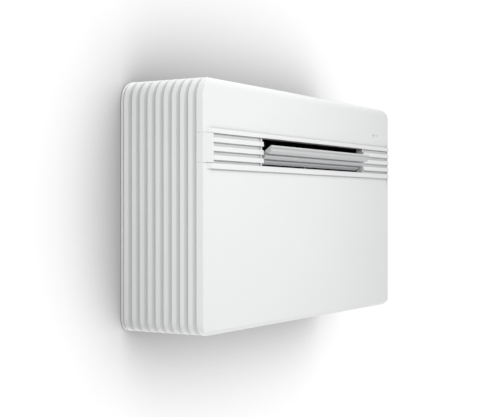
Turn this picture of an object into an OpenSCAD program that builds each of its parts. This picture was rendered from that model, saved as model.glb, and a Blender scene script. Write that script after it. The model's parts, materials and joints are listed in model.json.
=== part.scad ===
// Wall-mounted monobloc heat pump that heats and cools a room with a fan-driven convector.
// Origin: bottom edge of the casing, middle of its width, on the wall plane.
// +X is to the right as seen from the room, -Y points into the room, +Z is up. Millimetres.

/* [Casing] */
// Overall width
body_w = 902; // [890:1:930]
// Overall height
body_h = 516; // [514:1:524]
// Distance from the wall to the front panels
body_d = 200; // [198:1:204]
// Thickness of the front panel slab
slab_t = 15; // [14:0.5:16]
// Corner radius at the top of the casing
top_r = 42; // [38:1:44]
// Corner radius at the bottom of the casing
bottom_r = 26; // [24:1:30]
// Radius of the rounded top front edge
top_edge_r = 18; // [16:1:20]
// Height of the undercut strip along the bottom front edge
undercut_h = 8.6; // [6:0.1:10]
// Depth of that undercut
undercut_d = 6; // [4:0.5:8]
// Skin thickness of the mouldings
skin = 3; // [2.5:0.1:3.2]
// Visible gap between neighbouring covers
seam = 0.3; // [0.2:0.05:0.5]

/* [Ribs] */
// Number of full ribs from back to front
rib_count = 9; // [9:1:9]
// Distance between ribs
rib_pitch = 19.75; // [19.5:0.05:19.8]
// Width of the flat crest of a rib
rib_flat = 10; // [9:0.5:11]
// Depth of a groove at its step
groove_d = 5; // [4:0.5:5]

/* [Louvre band] */
// Height of the shadow line under the upper panel
band_top = 403; // [403:0.5:403]
// Distance between louvre lines
louvre_pitch = 17.8; // [17.8:0.1:17.8]
// How far the louvre lips stand in front of the panels
lip_proud = 5.5; // [5:0.25:6]
// Left end of the louvres, where they run into the smooth end block
louvre_x0 = -420; // [-424:1:-416]
// Right end of the louvres
louvre_x1 = 440; // [434:1:441]

/* [Air outlet] */
// Left edge of the outlet opening
outlet_x0 = -220; // [-220:1:-220]
// Width of the outlet opening
outlet_w = 505; // [505:1:505]
// Angle of the open flap, from its closed position
flap_open = 53; // [50:0.5:55]
// Height of the flap's hinge axis
hinge_z = 369; // [369:1:369]
// Radius of the hinge pins
hinge_r = 2.5; // [2:0.1:2.6]
// Number of guide vanes behind the flap
vane_count = 6; // [6:1:6]

/* [Wall ducts] */
// Distance between the two duct centres
duct_spacing = 293; // [290:1:296]
// Inner radius of the duct collars
duct_r = 76; // [74:0.5:76]
// Height of the duct centres
duct_z = 130; // [128:1:132]
// Distance between the bracket's wall screws, along the width
bracket_pitch_x = 640; // [600:10:680]
// Distance between the bracket's wall screws, along the height
bracket_pitch_z = 30; // [30:1:32]

/* [Fans] */
// Radius of the tangential fan
fan_r = 42; // [38:1:42]
// Number of blades of the tangential fan
fan_blades = 30; // [24:1:34]
// Radius of the outdoor fan wheel
wheel_r = 70; // [66:1:70]
// Number of blades of the outdoor fan wheel
wheel_blades = 7; // [5:1:9]

/* [Hidden] */
$fn = 64;
half_w = body_w / 2;
front_y = -body_d;
slab_y = -(body_d - slab_t);
pocket_y = front_y + skin;
rib_start = body_d - slab_t - rib_count * rib_pitch;
inner_depth = groove_d + skin;
// Filter intake: half the bar between the cassettes, and the strip left beside the corner
intake_bar = 5;
intake_end = 12;
cassette_h = 11.4;
recess_y = front_y + 1.5;
lip_y = front_y - lip_proud;
band_low = band_top - 3.3 * louvre_pitch;
last_line = band_top - 4 * louvre_pitch;
outlet_x1 = outlet_x0 + outlet_w;
hinge_y = front_y + 6;
flap_top = band_top - 1;
flap_low = band_low + 6;
flap_back = front_y + 5.5;
flap_x0 = outlet_x0 + 4;
flap_x1 = outlet_x0 + outlet_w - 4;
boss_r = 4.4;
run_gap = 0.05;
// Indoor air path
fan_y = -80;
fan_z = 392;
scroll_r = 50;
duct_floor = band_low - 0.5;
duct_roof = band_top + 1;
duct_x0 = outlet_x0 - 3;
duct_x1 = outlet_x1 + 3;
vane_y = -136;
vane_crank = 7;
vane_pitch = 84;
vane_x0 = outlet_x0 + (outlet_w - (vane_count - 1) * vane_pitch) / 2;
// Outdoor air path
duct_mid = 16;
inlet_x = duct_mid - duct_spacing / 2;
exhaust_x = duct_mid + duct_spacing / 2;
// Compressor place, and its three feet
comp_x = -350;
comp_y = -98;
foot_places = [for (a = [30, 150, 270]) [comp_x + 62 * cos(a), comp_y + 62 * sin(a)]];
// Wall bracket's lower screws, partition floor, cable and drain holes, display posts in X and Z
bracket_z = 462;
partition_z = 245;
cable_x = 405;
cable_z = 40;
drain_x = -270;
drain_z = 30;
display_posts = [for (x = [338, 414]) for (z = [428, 455]) [x, z]];
// Where the refrigerant lines pass the partition, in X and Y
suction_at = [comp_x + 84, comp_y];
hot_gas_at = [duct_mid + 11, -150];
liquid_at = [duct_mid - 11, -38];
// Refrigerant tube radius, and how much wider its return bends are
tube_r = 3.5;
socket = 0.4;
// Flap drive: a toothed sector on the flap and a pinion on the motor
gear_module = 1;
sector_teeth = 44;
pinion_teeth = 16;
gear_w = 4;
gear_x = flap_x1 - gear_w;
pinion_y = hinge_y + gear_module * (sector_teeth + pinion_teeth) / 2;

// ---- Helpers ----

// A box from its lowest to its highest corner
module block(low, high) { translate(low) cube(high - low); }

// A rod along X, Y or Z from a starting point
module rod_x(p, r, length) { translate(p) rotate([0, 90, 0]) cylinder(h = length, r = r); }
module rod_y(p, r, length) { translate(p) rotate([90, 0, 0]) cylinder(h = length, r = r); }
module rod_z(p, r, length) { translate(p) cylinder(h = length, r = r); }

// A tube run through a list of points, with a brazed ball joint at each corner
module pipe(points, r) {
    for (i = [0:len(points) - 2]) {
        step = points[i + 1] - points[i];
        length = norm(step);
        translate(points[i])
            rotate([0, acos(step[2] / length), atan2(step[1], step[0])])
                cylinder(h = length, r = r, $fn = 32);
    }
    for (i = [1:len(points) - 2]) translate(points[i]) sphere(r = r + 0.8, $fn = 32);
}

// Extrudes a section drawn in Y and Z along X
module along_x(x0, x1) {
    translate([x0, 0, 0]) rotate([90, 0, 90]) linear_extrude(height = x1 - x0) children();
}

// Extrudes an outline drawn in X and Z from y0 towards the room
module along_y(y0, depth) {
    translate([0, y0, 0]) rotate([90, 0, 0]) linear_extrude(height = depth) children();
}

// Casing outline in X and Z, drawn in by an inset
module outline(inset) {
    w = half_w - inset;
    rt = top_r - inset;
    rb = bottom_r - inset;
    mid = body_h / 2;
    translate([-w, inset + rb]) square([2 * w, body_h - 2 * inset - rb - rt]);
    translate([-w + rt, mid]) square([2 * (w - rt), body_h - inset - mid]);
    translate([-w + rb, inset]) square([2 * (w - rb), mid - inset]);
    for (side = [-1, 1]) {
        translate([side * (w - rt), body_h - inset - rt]) circle(r = rt, $fn = 96);
        translate([side * (w - rb), inset + rb]) circle(r = rb, $fn = 96);
    }
}

// ---- Ribbed casing ----

// Distance from the wall to the step that begins rib k
function rib_step(k) = rib_start + k * rib_pitch;

// Points of the ribbed wall as [depth below the crest, distance from the wall]
function rib_wall() = concat(
    [[0, 0], [0, rib_start / 2], [groove_d / 2, rib_start]],
    [for (k = [0:rib_count - 1]) each
        [[0, rib_step(k)], [0, rib_step(k) + rib_flat], [groove_d, rib_step(k + 1) - seam]]],
    [[inner_depth, rib_step(rib_count) - seam]],
    [for (k = [rib_count - 1:-1:0]) each
        [[groove_d + skin, rib_step(k + 1) - seam], [skin, rib_step(k) + rib_flat],
         [skin, rib_step(k) + skin]]],
    [[groove_d / 2 + skin, rib_start + skin], [skin, rib_start / 2], [skin, 0]]);

// Left-hand cover: bottom corner, side wall and top corner in one sweep of the ribbed wall
module side_cover() {
    wall = rib_wall();
    translate([0, 0, bottom_r]) linear_extrude(height = body_h - top_r - bottom_r)
        polygon([for (p = wall) [-half_w + p[0], -p[1]]]);
    translate([-half_w + top_r, 0, body_h - top_r]) rotate([90, 0, 0]) rotate([0, 0, 90])
        rotate_extrude(angle = 90, $fn = 96) polygon([for (p = wall) [top_r - p[0], p[1]]]);
    translate([-half_w + bottom_r, 0, bottom_r]) rotate([90, 0, 0]) rotate([0, 0, 180])
        rotate_extrude(angle = 90, $fn = 96) polygon([for (p = wall) [bottom_r - p[0], p[1]]]);
}

module left_side_cover() { color("white") side_cover(); }
module right_side_cover() { color("white") mirror([1, 0, 0]) side_cover(); }

// Ribbed wall laid along the top of the casing
module ribbed_top(x0, x1) {
    along_x(x0, x1) polygon([for (p = rib_wall()) [-p[1], body_h - p[0]]]);
}

// Intake zone of a filter cassette, inset by a gap; the sign picks the left or right half
module intake_box(side, gap, low) {
    x0 = intake_bar + gap;
    x1 = half_w - top_r - intake_end - gap;
    y0 = rib_step(rib_count - 1) + 2 - gap;
    y1 = rib_step(1) + 2 + gap;
    block([side > 0 ? x0 : -x1, -y0, low], [side > 0 ? x1 : -x0, -y1, body_h + 1]);
}

module top_cover() {
    color("white") {
        x = half_w - top_r - seam;
        difference() {
            ribbed_top(-x, x);
            for (side = [-1, 1]) intake_box(side, 0, body_h - 40);
        }
        // Ledges that carry the cassettes
        for (side = [-1, 1]) difference() {
            intake_box_ledge(side);
            block([-half_w, -body_d, body_h - cassette_h - 0.1], [half_w, 0, body_h + 2]);
        }
    }
}

// Ledge ring under a cassette opening
module intake_box_ledge(side) {
    difference() {
        intersection() {
            intake_box(side, -3, body_h - 14);
            block([-half_w, -body_d, body_h - 14], [half_w, 0, body_h - 11]);
        }
        intake_box(side, 4, body_h - 20);
    }
}

// Lift-out cassette: slotted ribs on top, a frame and a mesh below
module filter_cassette(side) {
    bar = 8;
    fit = 0.5;
    x_in = intake_bar + 2 * fit;
    count = 6;
    step = (half_w - top_r - intake_end - 2 * fit - x_in) / count;
    intersection() {
        ribbed_top(-half_w, half_w);
        difference() {
            intake_box(side, fit, body_h - 20);
            for (k = [1:rib_count - 2]) for (i = [0:count - 1])
                translate([side * (x_in + (i + 0.5) * step), -(rib_step(k + 1) - 3.5), body_h])
                    cube([step - bar, 6, 40], center = true);
        }
    }
    difference() {
        intersection() {
            intake_box(side, fit, body_h - cassette_h);
            block([-half_w, -body_d, body_h - cassette_h], [half_w, 0, body_h - inner_depth + 1]);
        }
        intake_box(side, 8, body_h - 20);
    }
    // Filter mesh
    intersection() {
        intake_box(side, 7, body_h - 20);
        block([-half_w, -body_d, body_h - cassette_h], [half_w, 0, body_h - cassette_h + 1]);
    }
}

module filter_left() { color("gainsboro") filter_cassette(-1); }
module filter_right() { color("gainsboro") filter_cassette(1); }

module bottom_cover() {
    color("white") difference() {
        x = half_w - bottom_r - seam;
        translate([0, 0, body_h]) mirror([0, 0, 1]) ribbed_top(-x, x);
        for (p = screw_places()) {
            rod_z([p[0], p[1], -1], 2.3, 20);
            rod_z([p[0], p[1], -1], 5, 4);
        }
    }
}

// Screws that hold the bottom cover to the chassis base, in X and Y
function screw_places() = [for (x = [-380, 0, 380]) for (y = [-32, -150.5]) [x, y]];

// Screws that hold the indoor fan's motor to the duct's end plate, in Y and Z
function motor_screw_places() = [for (a = [90, 210, 330]) [fan_y + 26 * cos(a), fan_z + 26 * sin(a)]];

module screws() {
    color("silver") {
        for (p = screw_places()) {
            rod_z([p[0], p[1], 1], 4.4, 1.8);
            rod_z([p[0], p[1], 2], 2.1, 14);
        }
        for (p = motor_screw_places()) {
            rod_x([duct_x1 - 2.4, p[0], p[1]], 4, 2.2);
            rod_x([duct_x1 - 2.4, p[0], p[1]], 2, 14);
        }
    }
}

// ---- Front ----

// Solid front slab between two heights, with rounded top edge, side edges and the undercut
module front_slab(z0, z1) {
    edge_r = 3.5;
    intersection() {
        along_y(slab_y, slab_t) outline(0);
        along_x(-half_w, half_w) union() {
            difference() {
                translate([front_y, z0]) square([slab_t, z1 - z0]);
                polygon([[front_y - 1, -1], [front_y - 1, undercut_h], [front_y, undercut_h],
                         [front_y + undercut_d, 0], [front_y + undercut_d, -1]]);
                translate([front_y - 1, body_h - top_edge_r]) square([top_edge_r + 1, top_edge_r + 1]);
            }
            intersection() {
                translate([front_y, z0]) square([slab_t, z1 - z0]);
                translate([front_y + top_edge_r, body_h - top_edge_r]) circle(r = top_edge_r, $fn = 96);
            }
        }
        linear_extrude(height = body_h) union() {
            translate([-half_w, front_y + edge_r]) square([body_w, slab_t]);
            translate([-half_w + edge_r, front_y]) square([body_w - 2 * edge_r, slab_t]);
            for (side = [-1, 1]) translate([side * (half_w - edge_r), front_y + edge_r])
                circle(r = edge_r, $fn = 48);
        }
    }
}

// Plan of the louvre zone: lips fade out at both ends, grooves stop at them
module louvre_plan(z0, z1, fade = 16) {
    end = 6;
    translate([0, 0, z0]) linear_extrude(height = z1 - z0)
        polygon([[louvre_x0 - fade, front_y + 0.5], [louvre_x0 - fade, front_y], [louvre_x0, lip_y - 1],
                 [louvre_x1, lip_y - 1], [louvre_x1 + end, front_y], [louvre_x1 + end, front_y + 0.5],
                 [louvre_x1, front_y + 0.5], [louvre_x1, pocket_y + 1], [louvre_x0, pocket_y + 1],
                 [louvre_x0, front_y + 0.5]]);
}

// Front surface of one louvre, from the shadow line above it down to its own lower edge
function louvre(z) = [
    [recess_y, z], [recess_y - 0.5, z - 6], [lip_y + 2.2, z - 7], [lip_y + 0.9, z - 8.2],
    [lip_y, z - louvre_pitch + 1], [lip_y + 0.6, z - louvre_pitch + 0.2],
    [lip_y + 1.6, z - louvre_pitch]];

// Section of the three louvres, closed at the back at the given depth
module louvre_section(back_y, z_end) {
    polygon(concat([[back_y, band_top]], [for (k = [0:2]) each louvre(band_top - k * louvre_pitch)],
        [[recess_y, band_top - 3 * louvre_pitch], [recess_y - 0.5, z_end], [back_y, z_end]]));
}

// The room that the louvre zone takes out of a front slab
module louvre_bed(z0, z1) { block([louvre_x0, lip_y - 2, z0], [louvre_x1, pocket_y, z1]); }

module front_upper_panel() {
    z0 = band_top + seam;
    bed = 26;
    color("white") {
        difference() {
            front_slab(z0, body_h);
            along_y(slab_y + 1, slab_t - skin + 1) intersection() {
                outline(4);
                translate([-half_w, z0 - 1]) square([body_w, body_h - top_edge_r + 2 - z0]);
            }
            louvre_bed(z0 - 1, z0 + bed);
        }
        // Shallow hollow that runs down to the lower lip, and the lip over the outlet
        intersection() {
            along_x(louvre_x0 - 20, louvre_x1 + 10)
                polygon([[pocket_y, z0 + bed], [front_y, z0 + bed], [front_y + 0.3, z0 + 19],
                         [front_y + 0.9, z0 + 13.5], [front_y + 1.6, z0 + 10.6], [lip_y + 2.2, z0 + 9.8],
                         [lip_y + 0.9, z0 + 8.6], [lip_y, z0 + 1], [lip_y + 0.6, z0 + 0.2],
                         [lip_y + 1.6, z0], [pocket_y, z0]]);
            louvre_plan(z0, z0 + bed);
        }
        // Posts that hold the display board
        for (p = display_posts) rod_y([p[0], pocket_y + 5.4, p[1]], 2.5, 5.6);
    }
}

module outlet_band() {
    z1 = band_top;
    flange = 8;
    border = 7;
    ramp = half_w + louvre_x0 - 4;
    color("white") difference() {
        union() {
            difference() {
                front_slab(band_low, z1);
                louvre_bed(band_low - 1, z1 + 1);
            }
            intersection() {
                along_x(louvre_x0 - 20, louvre_x1 + 10) louvre_section(pocket_y, band_low);
                louvre_plan(band_low, z1);
            }
            // Smooth ramp that the louvres run out of, and a narrow border on each side of the outlet
            intersection() {
                block([louvre_x0 - ramp, lip_y, band_low], [louvre_x0, pocket_y, z1]);
                louvre_plan(band_low, z1, ramp);
            }
            for (x = [outlet_x0 - border, outlet_x1])
                block([x, front_y - 1, band_low], [x + border, pocket_y, z1]);
            // Flanges that tuck behind the panels above and below
            block([-half_w + 12, pocket_y + 1.5, band_low - flange], [half_w - 12, slab_y, band_low + 1]);
            block([-half_w + 12, pocket_y + 1.5, z1 - 1], [half_w - 12, slab_y, z1 + flange]);
        }
        // The outlet, and hollows behind the louvres on both sides
        block([outlet_x0, lip_y - 2, band_low], [outlet_x1, slab_y + 1, z1]);
        block([-half_w + 8, pocket_y, band_low + 3], [outlet_x0 - 14, slab_y + 1, z1 - 3]);
        block([outlet_x1 + 14, pocket_y, band_low + 3], [half_w - 8, slab_y + 1, z1 - 3]);
        // Hinge holes for the flap
        for (x = [outlet_x0 - 8, outlet_x1]) rod_x([x, hinge_y, hinge_z], hinge_r + run_gap, 8);
    }
}

module front_lower_panel() {
    z1 = band_low - seam;
    bed = 36;
    color("white") {
        difference() {
            front_slab(0, z1);
            along_y(slab_y + 1, slab_t - skin + 1) intersection() {
                outline(4);
                translate([-half_w, undercut_h + 6]) square([body_w, z1]);
            }
            louvre_bed(z1 - bed, z1 + 1);
        }
        // Top lip and the hollow that runs flush below it
        intersection() {
            along_x(louvre_x0 - 20, louvre_x1 + 10)
                polygon([[pocket_y, z1], [lip_y + 2.2, z1], [lip_y + 0.9, z1 - 1.2], [lip_y, last_line + 1],
                         [lip_y + 0.6, last_line + 0.2], [lip_y + 1.6, last_line], [recess_y, last_line],
                         [recess_y - 0.6, last_line - 8], [front_y + 0.3, last_line - 16],
                         [front_y, z1 - bed], [pocket_y, z1 - bed]]);
            louvre_plan(z1 - bed, z1);
        }
    }
}

module display_board() {
    color("darkgreen") difference() {
        block([332, pocket_y + 5.6, 422], [420, pocket_y + 7.2, 461]);
        for (p = display_posts) rod_y([p[0], pocket_y + 9, p[1]], 1.2, 5);
    }
}

module display_light_guide() {
    color("ivory") difference() {
        block([344, pocket_y + 0.2, 424], [408, pocket_y + 5.4, 459]);
        for (x = [360, 376, 392]) rod_y([x, pocket_y + 6, 441.5], 4, 4.5);
    }
}

// ---- Flap and its drive ----

// Straight-sided teeth on a pitch circle, drawn about the origin, one tooth on the +X direction
module teeth(count, first, last) {
    pitch_r = gear_module * count / 2;
    for (i = [first:last]) rotate([0, 0, i * 360 / count])
        polygon([[pitch_r - 1.3, -0.75], [pitch_r, -0.55], [pitch_r + 0.75, -0.3],
                 [pitch_r + 0.75, 0.3], [pitch_r, 0.55], [pitch_r - 1.3, 0.75]]);
}

// Turns the flap's parts from the closed position to the open one
module flap_place() {
    translate([0, hinge_y, hinge_z]) rotate([flap_open, 0, 0]) translate([0, -hinge_y, -hinge_z]) children();
}

module outlet_flap() {
    corner_r = 12;
    pin = 6;
    color("whitesmoke") flap_place() {
        difference() {
            along_x(flap_x0, flap_x1) louvre_section(flap_back, flap_low);
            block([flap_x0 - 1, lip_y - 2, flap_top], [flap_x1 + 1, flap_back + 1, band_top + 1]);
            // Grooves that hollow out the louvres from behind
            for (k = [1:3])
                block([flap_x0 + 14, lip_y + 3, band_top - k * louvre_pitch + 2.8],
                      [flap_x1 - 14, flap_back + 1, band_top - k * louvre_pitch + 8.6]);
            // Rounded lower corners
            for (x = [flap_x0, flap_x1]) difference() {
                block([x - corner_r, lip_y - 2, flap_low - 1],
                      [x + corner_r, flap_back + 1, flap_low + corner_r]);
                rod_y([x + (x < 0 ? 1 : -1) * corner_r, flap_back + 2, flap_low + corner_r], corner_r, 20);
            }
        }
        // Hinge boss at each end and the pins
        rod_x([flap_x0, hinge_y, hinge_z], boss_r, 12);
        rod_x([flap_x1 - 12, hinge_y, hinge_z], boss_r, 12);
        rod_x([outlet_x0 - pin, hinge_y, hinge_z], hinge_r, 14);
        rod_x([outlet_x1 + pin - 14, hinge_y, hinge_z], hinge_r, 14);
    }
}

// Toothed sector on the right-hand hinge boss, behind the flap
module flap_sector() {
    first = -4;
    last = 7;
    reach = 30;
    color("black") flap_place() difference() {
        translate([gear_x, hinge_y, hinge_z]) rotate([90, 0, 90]) linear_extrude(height = gear_w)
            intersection() {
                translate([flap_back - hinge_y + 0.05, -reach]) square(2 * reach);
                rotate([0, 0, -flap_open]) union() {
                    intersection() {
                        circle(r = gear_module * sector_teeth / 2 - 0.8, $fn = 96);
                        polygon([[0, 0], reach * [cos(60), sin(60)], [reach, 0],
                                 reach * [cos(36), -sin(36)]]);
                    }
                    circle(r = boss_r + 2.5);
                    teeth(sector_teeth, first, last);
                }
            }
        rod_x([gear_x - 1, hinge_y, hinge_z], boss_r + 0.02, gear_w + 2);
    }
}

// Post that stands on the sill under the middle of the flap
module outlet_post() {
    color("whitesmoke") block([20, slab_y + 7, duct_floor + 0.02], [24, slab_y + 10, duct_floor + 7]);
}

module flap_pinion() {
    face = gear_w + 2;
    color("goldenrod") translate([gear_x - 1, pinion_y, hinge_z]) rotate([90, 0, 90]) {
        linear_extrude(height = face) {
            circle(r = 6.9, $fn = 48);
            rotate([0, 0, 180 / pinion_teeth]) teeth(pinion_teeth, 0, pinion_teeth - 1);
        }
        cylinder(h = 21.5, r = 2);
    }
}

// Small stepper motor with its shaft hole on +X or +Z
module stepper(shaft_r) {
    difference() {
        cylinder(h = 16, r = 14);
        translate([0, 0, 8]) cylinder(h = 10, r = shaft_r + run_gap);
    }
}

module flap_motor() {
    color("silver") translate([duct_x1 + 3.2 + 16, pinion_y, hinge_z]) rotate([0, -90, 0]) stepper(2);
}

// ---- Guide vanes ----

module vane(i) {
    pin_r = 2;
    z0 = duct_floor + 1;
    z1 = duct_roof - 1;
    translate([vane_x0 + i * vane_pitch, vane_y, 0]) {
        difference() {
            union() {
                block([-0.8, -27, z0], [0.8, 9.5, z1]);
                rod_z([0, 0, z0], 2.6, z1 - z0);
            }
            // Gap for the tie bar
            block([-3, 1.6, z1 - 10], [3, 12, z1 - 4]);
        }
        // Crank pin across the gap, and the pivots
        rod_z([0, vane_crank, z1 - 11], 1.2, 8);
        rod_z([0, 0, z0 - (i == 0 ? 8 : 3.5)], pin_r, 5 + (i == 0 ? 4.5 : 0));
        rod_z([0, 0, z1 - 1], pin_r, 4);
    }
}

module vane_1() { color("black") vane(0); }
module vane_2() { color("black") vane(1); }
module vane_3() { color("black") vane(2); }
module vane_4() { color("black") vane(3); }
module vane_5() { color("black") vane(4); }
module vane_6() { color("black") vane(5); }

module vane_tie_bar() {
    z = duct_roof - 9;
    y = vane_y + vane_crank - 0.5;
    last = vane_x0 + (vane_count - 1) * vane_pitch;
    color("black") difference() {
        block([vane_x0 - 8, y - 3.8, z], [last + 8, y + 3.8, z + 2]);
        for (i = [0:vane_count - 1])
            block([vane_x0 + i * vane_pitch - 1.4, y - 2, z - 1],
                  [vane_x0 + i * vane_pitch + 1.4, y + 2, z + 3]);
    }
}

module vane_motor() {
    color("silver") translate([vane_x0, vane_y, duct_floor - 3 - 16.3]) stepper(2);
}

// ---- Indoor circuit ----

module indoor_scroll() {
    wall = 3;
    color("black") {
        difference() {
            union() {
                // Rear scroll wall, floor, roof and vortex tongue
                translate([duct_x0, fan_y, fan_z]) rotate([90, 0, 90]) rotate([0, 0, -90])
                    rotate_extrude(angle = 150, $fn = 96)
                        translate([scroll_r, 0]) square([wall, duct_x1 - duct_x0]);
                block([duct_x0, slab_y + 0.5, duct_floor - wall], [duct_x1, fan_y, duct_floor]);
                block([duct_x0, slab_y + 0.5, duct_roof], [duct_x1, -126, duct_roof + 2.5]);
                block([duct_x0, -128.5, duct_roof], [duct_x1, -126, duct_roof + 26]);
                // End plates
                for (x = [duct_x0 - wall, duct_x1]) {
                    block([x, slab_y + 0.5, duct_floor - wall], [x + wall, -26, duct_roof + 26]);
                }
            }
            // Shaft and bearing holes, vane pivots and the flap drive
            rod_x([duct_x0 - 10, fan_y, fan_z], 9.1, 20);
            rod_x([duct_x1 - 10, fan_y, fan_z], 6, 20);
            rod_x([duct_x1 - 10, pinion_y, hinge_z], 2.4, 20);
            for (i = [0:vane_count - 1]) {
                x = vane_x0 + i * vane_pitch;
                rod_z([x, vane_y, duct_floor - 5], 2 + run_gap, 10);
                rod_z([x, vane_y, duct_roof - 1], 2 + run_gap, 10);
            }
            for (p = motor_screw_places()) rod_x([duct_x1 - 1, p[0], p[1]], 2.2, 6);
        }
    }
}

module tangential_fan() {
    x0 = duct_x0 + 5;
    x1 = duct_x1 - 5;
    sections = 7;
    color("darkslategray") {
        translate([x0, fan_y, fan_z]) rotate([90, 0, 90]) linear_extrude(height = x1 - x0)
            for (i = [0:fan_blades - 1]) rotate([0, 0, i * 360 / fan_blades])
                translate([fan_r - 9.5, -4]) rotate([0, 0, 25]) square([10, 1.2]);
        for (i = [0:sections])
            translate([x0 + i * (x1 - x0 - 2.5) / sections, fan_y, fan_z]) rotate([90, 0, 90]) difference() {
                cylinder(h = 2.5, r = fan_r - 0.8, $fn = 96);
                if (i > 0 && i < sections) translate([0, 0, -1]) cylinder(h = 5, r = fan_r - 11, $fn = 96);
            }
        // Shaft stubs
        rod_x([x0 - 12, fan_y, fan_z], 4, 13);
        rod_x([x1 - 1, fan_y, fan_z], 4, 26);
    }
}

module fan_end_bearing() {
    color("silver") difference() {
        rod_x([duct_x0 - 7, fan_y, fan_z], 9, 9);
        rod_x([duct_x0 - 10, fan_y, fan_z], 4 + run_gap, 20);
    }
}

module indoor_fan_motor() {
    x = duct_x1 + 3.2;
    color("silver") difference() {
        union() {
            rod_x([x + 3, fan_y, fan_z], 36, 50);
            rod_x([x, fan_y, fan_z], 32, 6);
            rod_x([x + 50, fan_y, fan_z], 18, 8);
        }
        rod_x([x - 1, fan_y, fan_z], 4 + run_gap, 22);
        for (p = motor_screw_places()) rod_x([x - 1, p[0], p[1]], 2.05, 13);
    }
}

// Evaporator frame: centre and tilt of the fin block
evap_y = -100;
evap_z = 467;
evap_tilt = -12;
evap_half = 68;
evap_t = 26;
evap_x0 = duct_x0 + 8;
evap_x1 = duct_x1 - 8;
evap_pitch = 22;

module evaporator_place() { translate([0, evap_y, evap_z]) rotate([evap_tilt, 0, 0]) children(); }

// Tube places in the block's own plane: two rows, staggered by the loop order
function evap_tube(i) = [(floor(i / 2) - 2.5) * evap_pitch, (i % 2 == 0 ? -1 : 1) * evap_t / 4];

module evaporator_fins() {
    color("lightsteelblue") evaporator_place() difference() {
        block([evap_x0, -evap_half, -evap_t / 2], [evap_x1, evap_half, evap_t / 2]);
        for (i = [0:11]) {
            p = evap_tube(i);
            rod_x([evap_x0 - 1, p[0], p[1]], tube_r + 0.1, evap_x1 - evap_x0 + 2);
        }
    }
}

// Return bend between two tube ends in the Y-Z plane, bulging along X
module return_bend(p, q, x, direction) {
    mid = (p + q) / 2;
    span = norm(q - p);
    translate([x, mid[0], mid[1]])
        rotate([atan2(q[1] - p[1], q[0] - p[0]), 0, 0])
            rotate([0, 0, direction > 0 ? -90 : 90])
                rotate_extrude(angle = 180, $fn = 48) translate([span / 2, 0])
                    circle(r = tube_r + socket, $fn = 32);
}

module evaporator_tubes() {
    stub = 4;
    color("chocolate") evaporator_place() {
        for (i = [0:11]) {
            p = evap_tube(i);
            rod_x([evap_x0 - stub, p[0], p[1]], tube_r, evap_x1 - evap_x0 + 2 * stub);
        }
        for (i = [0:2:10]) return_bend(evap_tube(i), evap_tube(i + 1), evap_x1 + stub - 1, 1);
        for (i = [1:2:9]) return_bend(evap_tube(i), evap_tube(i + 1), evap_x0 - stub + 1, -1);
    }
}

module drip_tray() {
    z0 = 430.6;
    color("dimgray") difference() {
        block([evap_x0 - 12, -35, z0], [evap_x1 + 12, -9, z0 + 9]);
        block([evap_x0 - 10, -33, z0 + 2], [evap_x1 + 10, -11, z0 + 10]);
        rod_z([evap_x0, -22, z0 - 1], 3, 4);
    }
}

module partition() {
    z = partition_z;
    color("dimgray") difference() {
        union() {
            block([-half_w + 14, slab_y + 2, z], [half_w - 14, -6.5, z + 12]);
            block([-240, slab_y + 2, 13], [-232, -6.5, z + 1]);
            block([268, slab_y + 2, 13], [276, -6.5, z + 1]);
        }
        // Passages for the pipes and the wiring
        block([-420, -120, z - 1], [-385, -60, z + 13]);
        block([300, -70, z - 1], [330, -45, z + 13]);
        rod_x([-241, -150, 30], 6, 10);
        for (p = [suction_at, hot_gas_at, liquid_at]) rod_z([p[0], p[1], z - 1], 4.6, 14);
    }
}

// ---- Outdoor circuit ----

cond_x0 = duct_mid - 22;
cond_x1 = duct_mid + 22;
cond_z0 = 34;
cond_z1 = 220;
function cond_tube(i) = [duct_mid + (i % 2 == 0 ? -1 : 1) * 11, -38 - floor(i / 2) * 28];

module condenser_fins() {
    color("lightsteelblue") difference() {
        block([cond_x0, -176, cond_z0], [cond_x1, -12, cond_z1]);
        for (i = [0:9]) rod_z([cond_tube(i)[0], cond_tube(i)[1], cond_z0 - 1], tube_r + 0.1, 200);
    }
}

// Return bend between two upright tubes, bulging up or down
module upright_bend(p, q, z, direction) {
    mid = (p + q) / 2;
    translate([mid[0], mid[1], z])
        rotate([0, 0, atan2(q[1] - p[1], q[0] - p[0])])
            rotate([90, 0, 0]) rotate([0, 0, direction > 0 ? 0 : 180])
                rotate_extrude(angle = 180, $fn = 48) translate([norm(q - p) / 2, 0])
                    circle(r = tube_r + socket, $fn = 32);
}

module condenser_tubes() {
    stub = 2;
    color("chocolate") {
        for (i = [0:9])
            rod_z([cond_tube(i)[0], cond_tube(i)[1], cond_z0 - stub], tube_r, cond_z1 - cond_z0 + 2 * stub);
        for (i = [0:2:8]) upright_bend(cond_tube(i), cond_tube(i + 1), cond_z0 - stub + 1, -1);
        for (i = [1:2:7]) upright_bend(cond_tube(i), cond_tube(i + 1), cond_z1 + stub - 1, 1);
    }
}

module collar(x) {
    difference() {
        union() {
            rod_y([x, -3.6, duct_z], duct_r + 4, 16);
            rod_y([x, -5.8, duct_z], duct_r + 12, 2.4);
        }
        rod_y([x, 0, duct_z], duct_r, 30);
    }
}

module inlet_collar() { color("dimgray") collar(inlet_x); }
module exhaust_collar() { color("dimgray") collar(exhaust_x); }

module duct_seals() {
    color("black") for (x = [inlet_x, exhaust_x]) difference() {
        rod_y([x, -0.3, duct_z], duct_r + 12, 3);
        rod_y([x, 1, duct_z], duct_r + 4.5, 6);
    }
}

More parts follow.
